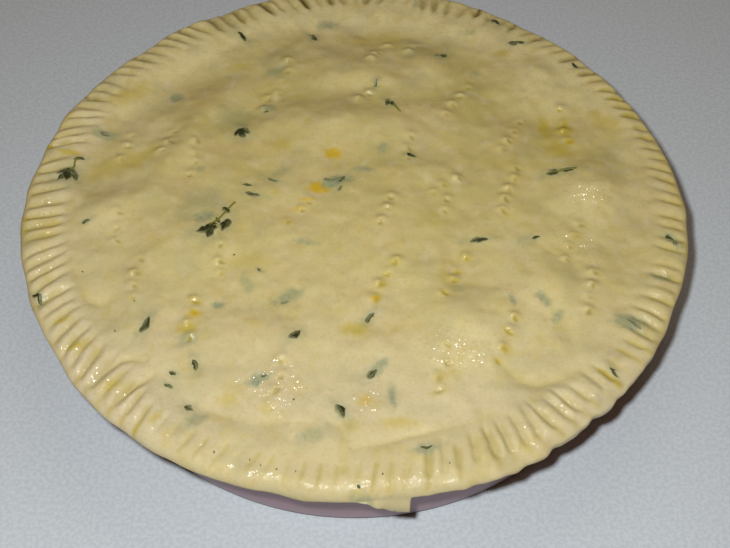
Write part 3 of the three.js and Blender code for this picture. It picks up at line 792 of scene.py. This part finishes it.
def pastry_skin():
    """Lid, rim, lip and the body that fills the tin."""
    rings = [top_ring(ring_angles(1), 0)]
    for radius in np.arange(LID_SPACING, LID_EDGE, LID_SPACING):
        rings.append(top_ring(ring_angles(max(LID_LEAST_STEPS, round(TURN * radius / LID_SPACING))), radius))
    fine = ring_angles(CRIMP_COUNT * CRIMP_SAMPLES)
    for step in range(1, RIM_STEPS + 1):
        share = sin(pi / 2 * step / RIM_STEPS)
        rings.append(top_ring(fine, LID_EDGE + (outline(fine) - LID_EDGE) * share))
    rings += lip_rings(fine, rings[-1])
    over_bead = TIN_FLANGE_RADIUS + TIN_BEAD_RADIUS + FIT_GAP
    wall_gap = TIN_SHEET + FIT_GAP
    rings += [
        ring(fine, over_bead, rings[-1][:, 2] + LIP_UNDERCUT),
        flat_ring(BODY_SEGMENTS, over_bead, TIN_HEIGHT + FIT_GAP),
        flat_ring(BODY_SEGMENTS, TIN_WALL_TOP_RADIUS - wall_gap, TIN_HEIGHT + FIT_GAP),
        flat_ring(BODY_SEGMENTS, TIN_BASE_RADIUS - wall_gap, wall_gap),
        flat_ring(1, 0, wall_gap),
    ]
    return skin_from_rings(rings)


def on_lid(points):
    x, y, z = points.T
    return (z > TIN_HEIGHT + LID_CLEARANCE) & (np.hypot(x, y) < RIM_BLEND_END)


def fine_zone(points):
    """Which points of the lid lie close to a prick or a crease, where the mesh is made finer."""
    close = np.zeros(len(points), bool)
    x, y, _ = points.T
    for prick in PRICKS:
        close[near(x, y, prick.x, prick.y, PRICK_FINE_CUT)] = True
    for _, _, line in CREASES:
        close |= line_distance(x, y, smooth_line(line, 1))[0] < CREASE_FINE
    return close & on_lid(points)


def refined(points, triangles):
    """The same skin with the edges in the fine zone split once."""
    mesh = bpy.data.meshes.new("refine")
    mesh.from_pydata(points.tolist(), [], triangles)
    grid = bmesh.new()
    grid.from_mesh(mesh)
    close = fine_zone(points)
    edges = [edge for edge in grid.edges if all(close[vert.index] for vert in edge.verts)]
    bmesh.ops.subdivide_edges(grid, edges=edges, cuts=1)
    bmesh.ops.triangulate(grid, faces=grid.faces)
    grid.verts.index_update()
    finer = np.array([vert.co for vert in grid.verts])
    faces = [tuple(vert.index for vert in face.verts) for face in grid.faces]
    grid.free()
    bpy.data.meshes.remove(mesh)
    lid = on_lid(finer)
    finer[lid, 2] = top_height(finer[lid, 0], finer[lid, 1])
    return finer, faces


def oval_patches(x, y, rows, soft):
    """Strength of soft-edged ragged oval patches at points."""
    total = np.zeros_like(x)
    for number, (middle_x, middle_y, heading, length, width, strength) in enumerate(rows):
        some = near(x, y, middle_x, middle_y, length)
        along, across = turned(x[some], y[some], middle_x, middle_y, heading)
        reach = np.hypot(along / (length / 2), across / (width / 2))
        for share, size in PATCH_RAGGED:
            reach += size * ripple(x[some], y[some], share * width, number)
        total[some] = np.maximum(total[some], strength * (1 - ease(reach, 1 - soft, 1 + soft)))
    return total


def herb_tint(x, y):
    halos = [
        (leaf_x, leaf_y, heading, LEAF_HALO * length, LEAF_HALO * width, LEAF_HALO_STRENGTH)
        for leaf_x, leaf_y, heading, length, width, _ in LEAVES
    ]
    return np.maximum(oval_patches(x, y, SMUDGES, SMUDGE_SOFT), oval_patches(x, y, halos, HALO_SOFT))


def wash_tint(x, y, groove):
    """Yellow wash that has run into the crimps, the pricks and the creases, its stains, and one patch of
    painted shade in a hollow of the lid.
    """
    _, angle = polar(x, y)
    pool = np.full_like(x, POOL_BASE)
    for pool_angle in POOL_ANGLES:
        pool = np.maximum(pool, bell((np.degrees(angle) - pool_angle) / POOL_SPREAD))
    tint = pool * groove
    for prick in PRICKS:
        some = near(x, y, prick.x, prick.y, PRICK_WASH_CUT * prick.radius)
        reach = slit_reach(x[some], y[some], prick) / PRICK_WASH_REACH
        tint[some] = np.maximum(tint[some], prick.wash * bell(reach))
    for depth, share in crease_share(x, y):
        tint = np.maximum(tint, CREASE_WASH * depth * share)
    return np.maximum(tint, oval_patches(x, y, STAINS_AND_HOLLOW_SHADE, STAIN_AND_SHADE_SOFT))


def pit_shade_tint(x, y, groove):
    """Painted shade in the bottoms of crimps and of pricks that no wash fills, and along the rim's unlit
    edge at the back.
    """
    radius, angle = polar(x, y)
    tint = (GROOVE_SHADE + grown(y, *GROOVE_BACK_SHADE)) * groove**2
    edge = ease(radius - outline(angle), -EDGE_SHADE_WIDTH, 0)
    tint = np.maximum(tint, grown(y, *EDGE_SHADE) * edge)
    for prick in PRICKS:
        some = near(x, y, prick.x, prick.y, PRICK_SHADE_CUT * prick.radius)
        dark = prick.depth / PRICK_DEPTH[1] * (1 - PRICK_POOL * prick.wash)
        tint[some] = np.maximum(tint[some], dark * bell(slit_reach(x[some], y[some], prick)))
    return tint


def pale_tint(x, y, roll):
    """Paler pastry towards the front, the left and on the rim, and a painted highlight that makes the tops
    of the rolls at the left paler.
    """
    tint = grown(-y, *PALE_FRONT) * (1 - grown(-y, *PALE_FRONT_LOSS))
    tint += grown(-x, *PALE_LEFT) + grown(np.hypot(x, y), *PALE_RIM)
    return tint + roll * grown(-x, *ROLL_HIGHLIGHT_PALE)


def heave_tint(x, y):
    """The dough heaved up behind the pricks."""
    tint = np.zeros_like(x)
    for prick in PRICKS:
        some = near(x, y, prick.heave_x, prick.heave_y, HEAVE_CUT)
        share = prick.heave / HEAVE_HEIGHT[1] * heave_share(x[some], y[some], prick)
        tint[some] = np.maximum(tint[some], share)
    return tint


def painted_light_tint(x, y, roll):
    """Painted light: lighter parts of the lid, the dough heaved up behind the pricks, the tops of the rolls
    and the rim at the back.
    """
    return np.maximum.reduce([
        oval_patches(x, y, PAINTED_LIGHT_PATCHES, PAINTED_LIGHT_SOFT),
        HEAVE_PAINTED_LIGHT * heave_tint(x, y),
        grown(np.hypot(x, y), *BACK_RIM_PAINTED_LIGHT) * ease(y, *BACK_RIM_SPAN),
        ROLL_PAINTED_LIGHT * roll,
    ])


def wet_tint(x, y):
    """How rough the wet film is: little on the lid, more on the rim, on the heaved dough and in patches."""
    ground = WET_LID + (WET_RIM - WET_LID) * ease(np.hypot(x, y), RIM_BLEND_START, RIM_BLEND_END)
    patches = oval_patches(x, y, WET_PATCHES, WET_SOFT)
    return np.maximum.reduce([ground, WET_HEAVE * heave_tint(x, y), patches])


def new_object(name, data):
    made = bpy.data.objects.new(name, data)
    scene.collection.objects.link(made)
    return made


def mesh_object(name, points, faces, material):
    mesh = bpy.data.meshes.new(name)
    mesh.from_pydata((np.asarray(points) * MM).tolist(), [], faces)
    mesh.shade_smooth()
    mesh.materials.append(material)
    return new_object(name, mesh)


def set_tint(made, name, values):
    tint = made.data.attributes.new(name, "FLOAT", "POINT")
    tint.data.foreach_set("value", np.asarray(values, np.float32))


def make_pastry(material):
    points, faces = refined(*pastry_skin())
    made = mesh_object("pastry", points, faces, material)
    x, y, z = points.T
    radius, angle = polar(x, y)
    _, groove, roll = crimps(angle, radius)
    shown = z > LIP_HEIGHT - FLAP_KEYS[:, 1].max()
    tints = {
        "herb": herb_tint(x, y),
        "yolk": oval_patches(x, y, YOLKS, YOLK_SOFT),
        # Wash and its stains, with one patch of painted shade in a hollow
        "wash": wash_tint(x, y, groove),
        # Painted shade in grooves, slits and along the rim's edge
        "pit_shade": pit_shade_tint(x, y, groove),
        "pale": pale_tint(x, y, roll),
        # Painted light on lumps, heaved dough, roll tops and the back of the rim
        "painted_light": painted_light_tint(x, y, roll),
        "wet": wet_tint(x, y),
    }
    for name, values in tints.items():
        set_tint(made, name, values * shown)
    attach(made, "root")
    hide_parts("pie")


def leaf_blade(middle_x, middle_y, heading, length, width, tone, number):
    """One crumpled leaf on the pastry: points, faces, nearness to the edge and tone of each point."""
    u, v = np.meshgrid(np.linspace(0, 1, LEAF_ROWS), np.linspace(-1, 1, LEAF_COLUMNS), indexing="ij")
    taper = np.sin(pi * u**LEAF_TAPER).clip(0) ** LEAF_FULLNESS
    half = LEAF_SPREAD * width / 2 * np.maximum(taper, LEAF_END_SHARE)
    sides = np.sign(v.ravel())
    ragged = ripple(LEAF_RAGGED_WAVES * u.ravel(), sides, 1, number + LEAF_RAGGED_LAYER)
    half *= 1 + LEAF_RAGGED * ragged.reshape(u.shape)
    bend = draw(LEAF_BEND, number) * length * (2 * u - 1) ** 2
    grids = placed(middle_x, middle_y, heading, (u - 0.5) * length, v * half + bend)
    x, y = (grid.ravel() for grid in grids)
    lift = LEAF_LIFT + (LEAF_SUNK_LIFT - LEAF_LIFT) * tone
    dome = np.sqrt(np.sin(pi * u) * (1 - v**2))
    rise = (lift * dome - LEAF_SINK - LEAF_RIB * bell(v / LEAF_RIB_WIDTH)).ravel()
    rise += LEAF_CRUMPLE * ripple(x, y, LEAF_CRUMPLE_LENGTH, number)
    ground = top_height(x, y)
    upper = np.stack([x, y, ground + rise], axis=1)
    lower = np.stack([x, y, ground - LEAF_THICKNESS], axis=1)
    along_waves, across_waves = LEAF_STREAK_WAVES
    streak = ripple(along_waves * u.ravel(), across_waves * v.ravel(), 1, number + LEAF_STREAK_LAYER)
    tones = (tone + LEAF_STREAK * streak + LEAF_SIDE * v.ravel()).clip(0, 1) * LEAF_TONE_SHARE
    return np.concatenate([upper, lower]), blade_faces(), np.tile(1 - dome.ravel(), 2), np.tile(tones, 2)


def blade_faces():
    """Faces of an upper and a lower grid that are joined along their edges."""
    grid = np.arange(LEAF_ROWS * LEAF_COLUMNS).reshape(LEAF_ROWS, LEAF_COLUMNS)
    under = grid + grid.size
    faces = []
    for row in range(LEAF_ROWS - 1):
        for column in range(LEAF_COLUMNS - 1):
            corners = [(row, column), (row + 1, column), (row + 1, column + 1), (row, column + 1)]
            faces.append([int(grid[corner]) for corner in corners])
            faces.append([int(under[corner]) for corner in reversed(corners)])
    border = np.concatenate([grid[0, :-1], grid[:-1, -1], grid[-1, :0:-1], grid[:0:-1, 0]])
    for first, second in zip(border, np.roll(border, -1)):
        faces.append([int(first), int(second), int(second + grid.size), int(first + grid.size)])
    return faces


def stem_tube(points):
    """A thin stem along points on the pastry."""
    line = smooth_line(points, STEM_STEPS)
    ground = top_height(line[:, 0], line[:, 1]) + STEM_RADIUS * STEM_SINK
    rings = []
    for index, (x, y) in enumerate(line):
        before, after = line[max(index - 1, 0)], line[min(index + 1, len(line) - 1)]
        heading = np.degrees(atan2(after[1] - before[1], after[0] - before[0]))
        for angle in ring_angles(STEM_SIDES):
            side = placed(x, y, heading, 0, STEM_RADIUS * cos(angle))
            rings.append((*side, ground[index] + STEM_RADIUS * sin(angle)))
    faces = [list(range(STEM_SIDES)), list(range(len(rings) - STEM_SIDES, len(rings)))[::-1]]
    for index in range(len(line) - 1):
        for side in range(STEM_SIDES):
            a = index * STEM_SIDES + side
            b = index * STEM_SIDES + (side + 1) % STEM_SIDES
            faces.append([a, a + STEM_SIDES, b + STEM_SIDES, b])
    return np.array(rings), faces, np.zeros(len(rings)), np.ones(len(rings))


def make_thyme(material):
    """All leaves, flecks and stems that lie on the pastry, as one joined mesh."""
    blades = LEAVES + [
        (x, y, draw(FLECK_HEADING, number), size, FLECK_WIDTH_SHARE * size, FLECK_TONE)
        for number, (x, y, size) in enumerate(FLECKS)
    ]
    parts = [leaf_blade(*row, number) for number, row in enumerate(blades)]
    parts += [stem_tube(line) for line in STEMS]
    points, faces, edges, tones = zip(*parts)
    starts = np.cumsum([0] + [len(part) for part in points]).tolist()
    joined = [[corner + start for corner in face] for start, part in zip(starts, faces) for face in part]
    made = mesh_object("thyme", np.concatenate(points), joined, material)
    set_tint(made, "tone", np.concatenate(tones))
    set_tint(made, "edge", np.concatenate(edges))
    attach(made, "root")


def arc(middle_x, middle_y, radius, start, end, steps):
    angles = np.radians(np.linspace(start, end, steps + 1))
    return [(middle_x + radius * cos(a), middle_y + radius * sin(a)) for a in angles]


def tin_profile():
    """Section of the pressed tin, radius and height, from the middle of its base round to the inside."""
    lean = np.degrees(atan2(TIN_WALL_TOP_RADIUS - TIN_BASE_RADIUS, TIN_HEIGHT))
    corner_middle = TIN_BASE_RADIUS - TIN_CORNER_RADIUS
    inner_corner = TIN_CORNER_RADIUS - TIN_SHEET
    outside = arc(corner_middle, TIN_CORNER_RADIUS, TIN_CORNER_RADIUS, -90, -lean, TIN_CORNER_STEPS)
    wall_end = (TIN_WALL_TOP_RADIUS, TIN_HEIGHT - TIN_SHEET)
    wall = np.linspace(outside[-1], wall_end, TIN_WALL_STEPS + 1)[1:].tolist()
    bead = arc(TIN_FLANGE_RADIUS, TIN_HEIGHT - TIN_BEAD_RADIUS, TIN_BEAD_RADIUS, -180, 90, TIN_BEAD_STEPS)
    inside = arc(corner_middle, TIN_CORNER_RADIUS, inner_corner, -lean, -90, TIN_CORNER_STEPS)
    return outside + wall + bead + [(TIN_WALL_TOP_RADIUS - TIN_SHEET, TIN_HEIGHT)] + inside


def make_tin(material):
    sides = [flat_ring(TIN_SEGMENTS, radius, height) for radius, height in tin_profile()]
    rings = [flat_ring(1, 0, 0), *sides, flat_ring(1, 0, TIN_SHEET)]
    points, triangles = skin_from_rings(rings)
    made = mesh_object("pie_tin", points, [face[::-1] for face in triangles], material)
    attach(made, "root")
    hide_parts("tin")


def add_node(tree, kind, inputs, **settings):
    """A node with its settings and its inputs, each a value or another node's output."""
    made = tree.nodes.new(kind)
    for name, value in settings.items():
        setattr(made, name, value)
    for socket, value in inputs.items():
        if isinstance(value, bpy.types.NodeSocket):
            tree.links.new(value, made.inputs[socket])
        else:
            made.inputs[socket].default_value = value
    return made


def noise_value(tree, coordinates, scale, detail=3.0):
    inputs = {"Vector": coordinates, "Scale": scale, "Detail": detail}
    return add_node(tree, "ShaderNodeTexNoise", inputs).outputs["Fac"]


def tint_value(tree, name):
    return add_node(tree, "ShaderNodeAttribute", {}, attribute_name=name).outputs["Fac"]


def mix_colour(tree, share, first, second):
    """Colour between two: the socket numbers are those of the factor and the two colours."""
    return add_node(tree, "ShaderNodeMix", {0: share, 6: first, 7: second}, data_type="RGBA").outputs[2]


def ramp(tree, value, stops):
    """Tones along a value, each stop a place and a colour or a grey."""
    made = add_node(tree, "ShaderNodeValToRGB", {"Fac": value})
    elements = made.color_ramp.elements
    while len(elements) < len(stops):
        elements.new(1.0)
    for element, (place, colour) in zip(elements, stops):
        element.position = place
        element.color = colour if isinstance(colour, tuple) else (colour, colour, colour, 1)
    return made.outputs["Color"]


def noise_ramp(tree, place, scale, stops):
    return ramp(tree, noise_value(tree, place, scale), stops)


def scaled(tree, value, factor):
    return add_node(tree, "ShaderNodeMath", {0: value, 1: factor}, operation="MULTIPLY").outputs[0]


def map_range(tree, value, start, end, low, high):
    inputs = {"Value": value, "From Min": start, "From Max": end, "To Min": low, "To Max": high}
    return add_node(tree, "ShaderNodeMapRange", inputs).outputs["Result"]


def bump(tree, height, distance):
    inputs = {"Height": height, "Distance": distance * MM, "Strength": 1.0}
    return add_node(tree, "ShaderNodeBump", inputs).outputs["Normal"]


def new_material(name):
    """A material, its node tree and the place in the object that its nodes start from."""
    made = bpy.data.materials.new(name)
    made.use_nodes = True
    made.node_tree.nodes.clear()
    place = add_node(made.node_tree, "ShaderNodeTexCoord", {}).outputs["Object"]
    return made, made.node_tree, place


def finish_material(made, inputs):
    tree = made.node_tree
    shader = add_node(tree, "ShaderNodeBsdfPrincipled", inputs)
    add_node(tree, "ShaderNodeOutputMaterial", {"Surface": shader.outputs["BSDF"]})
    return made


def veil(tree, colour, place, scale, start, end, strength, tint):
    """A colour with another laid over it in soft patches of a noise."""
    share = noise_ramp(tree, place, scale, [(start, 0), (end, strength)])
    return mix_colour(tree, share, colour, tint)


def tinted(tree, colour, name, tint):
    """A colour with another laid over it where the mesh has a tint of that name."""
    return mix_colour(tree, tint_value(tree, name), colour, tint)


def pastry_colour(tree, place):
    """Cream and butter tones, yellow where wash gathers, grey-green over sunk thyme, with painted light and
    painted shade laid on.
    """
    colour = noise_ramp(tree, place, *PASTRY_TONES)
    colour = veil(tree, colour, place, *BUTTER_VEIL)
    colour = tinted(tree, colour, "pale", PALE_COLOUR)
    # Painted light
    colour = tinted(tree, colour, "painted_light", PAINTED_LIGHT_COLOUR)
    for row in PASTRY_VEILS:
        colour = veil(tree, colour, place, *row)
    # Wash, with one patch of painted shade among its stains
    colour = tinted(tree, colour, "wash", WASH_COLOUR)
    colour = tinted(tree, colour, "yolk", YOLK_COLOUR)
    herb = scaled(tree, tint_value(tree, "herb"), noise_ramp(tree, place, *HERB_MOTTLE))
    colour = mix_colour(tree, herb, colour, HERB_COLOUR)
    # Painted shade
    pit_shade = scaled(tree, tint_value(tree, "pit_shade"), PIT_SHADE_STRENGTH)
    return mix_colour(tree, pit_shade, colour, PIT_SHADE_COLOUR)


def pastry_material():
    """Raw pastry under egg wash, whose film is rougher and glossier where the mesh is wet."""
    made, tree, place = new_material("raw_pastry")
    wet = tint_value(tree, "wet")
    film = scaled(tree, noise_value(tree, place, FILM_SCALE, FILM_DETAIL), wet)
    return finish_material(made, {
        "Base Color": pastry_colour(tree, place),
        "Roughness": noise_ramp(tree, place, *PASTRY_ROUGHNESS),
        "Specular IOR Level": 0.15,
        "Subsurface Weight": 0.2,
        "Subsurface Radius": (1.0, 0.6, 0.25),
        "Subsurface Scale": 1.6 * MM,
        "Coat Weight": map_range(tree, wet, *WET_SPAN, *WET_COAT_WEIGHT),
        "Coat Roughness": map_range(tree, wet, *WET_SPAN, *WET_COAT_ROUGHNESS),
        "Normal": bump(tree, noise_value(tree, place, GRAIN_SCALE), GRAIN_HEIGHT),
        "Coat Normal": bump(tree, film, FILM_HEIGHT),
    })


def thyme_material():
    """Wet thyme: leaves from black-green to grey-green, stems yellow-green."""
    made, tree, place = new_material("thyme")
    colour = ramp(tree, tint_value(tree, "tone"), THYME_TONES)
    colour = veil(tree, colour, place, *THYME_VEIL)
    edge = ramp(tree, tint_value(tree, "edge"), THYME_EDGE)
    colour = mix_colour(tree, edge, colour, THYME_EDGE_COLOUR)
    veins = bump(tree, noise_value(tree, place, VEIN_SCALE), VEIN_HEIGHT)
    return finish_material(made, {
        "Base Color": colour,
        "Roughness": noise_ramp(tree, place, *THYME_ROUGHNESS),
        "Specular IOR Level": 0.2,
        "Coat Weight": 0.1,
        "Coat Roughness": 0.15,
        "Normal": veins,
    })


def tin_material():
    """Mauve-grey satin metal with fine streaks round the wall, darker upwards because a painted reflection
    makes it paler low on the wall, and dark at the very foot from a painted shadow.
    """
    made, tree, place = new_material("tin_metal")
    height = add_node(tree, "ShaderNodeSeparateXYZ", {"Vector": place}).outputs["Z"]
    stretch = {"Vector": place, "Scale": TIN_STREAK_STRETCH}
    stretched = add_node(tree, "ShaderNodeMapping", stretch).outputs["Vector"]
    streaks = noise_value(tree, stretched, 1, TIN_STREAK_DETAIL)
    colour = ramp(tree, streaks, TIN_TONES)
    cloud = scaled(tree, noise_value(tree, place, TIN_CLOUD_SCALE), TIN_CLOUD_STRENGTH)
    colour = mix_colour(tree, cloud, colour, TIN_CLOUD_COLOUR)
    # Painted reflection of the floor low on the wall, painted shadow at its foot
    for start, end, strength, tint in TIN_PAINTED_LIGHT_BANDS:
        band = map_range(tree, height, start * MM, end * MM, strength, 0)
        colour = mix_colour(tree, band, colour, tint)
    return finish_material(made, {
        "Base Color": colour,
        "Metallic": 0.15,
        "Roughness": ramp(tree, streaks, TIN_ROUGHNESS),
        "Normal": bump(tree, streaks, TIN_STREAK_HEIGHT),
    })


def floor_material():
    made, tree, place = new_material("floor")
    speckle = noise_value(tree, place, FLOOR_SCALE, FLOOR_DETAIL)
    return finish_material(made, {
        "Base Color": ramp(tree, speckle, FLOOR_TONES),
        "Roughness": 0.6,
        "Specular IOR Level": 0.2,
    })


def make_floor(material):
    half = FLOOR_SIZE / 2
    corners = [(-half, -half, 0), (half, -half, 0), (half, half, 0), (-half, half, 0)]
    floor = mesh_object("floor", corners, [[0, 1, 2, 3]], material)


def camera_frame():
    """The camera's place in millimetres, and its right, up and forward directions."""
    elevation = radians(CAMERA_ELEVATION)
    back = Vector((0, -cos(elevation), sin(elevation)))
    place = back * CAMERA_DISTANCE + Vector((0, 0, CAMERA_AIM_HEIGHT))
    right = Vector((1, 0, 0))
    tilt = Matrix.Rotation(radians(CAMERA_TILT), 3, right)
    forward = tilt @ -back
    up = tilt @ right.cross(-back)
    pan = Matrix.Rotation(radians(CAMERA_PAN), 3, up)
    return place, pan @ right, up, pan @ forward


def make_camera():
    place, right, up, forward = camera_frame()
    data = bpy.data.cameras.new("camera")
    data.sensor_width = SENSOR_WIDTH
    data.lens = SENSOR_WIDTH * FOCAL_PIXELS / IMAGE_WIDTH
    data.clip_start = CLIP_START * MM
    camera = new_object("camera", data)
    turn = Matrix((right, up, -forward)).transposed().to_4x4()
    camera.matrix_world = Matrix.Translation(place * MM) @ turn
    scene.camera = camera


def make_area_light(name, place, aim, size, power, colour):
    data = bpy.data.lights.new(name, "AREA")
    data.shape = "DISK"
    data.size = size * MM
    data.energy = power
    data.color = colour
    light = new_object(name, data)
    light.location = place * MM
    light.rotation_euler = (aim - place).to_track_quat("-Z", "Y").to_euler()


def make_lights():
    place, right, up, _ = camera_frame()
    middle = Vector((0, 0, TIN_HEIGHT))
    key_place = place - right * KEY_LEFT + up * KEY_UP
    make_area_light("key", key_place, middle, KEY_SIZE, KEY_POWER, KEY_COLOUR)
    make_area_light("fill", Vector(FILL_PLACE), middle, FILL_SIZE, FILL_POWER, FILL_COLOUR)
    world = bpy.data.worlds.new("studio")
    world.use_nodes = True
    background = world.node_tree.nodes["Background"]
    background.inputs["Color"].default_value = (*WORLD_COLOUR, 1)
    background.inputs["Strength"].default_value = WORLD_STRENGTH
    scene.world = world
    scene.view_settings.view_transform = "Standard"


PRICKS = prick_places()
make_camera()
make_lights()
make_floor(floor_material())
make_tin(tin_material())
make_pastry(pastry_material())
make_thyme(thyme_material())
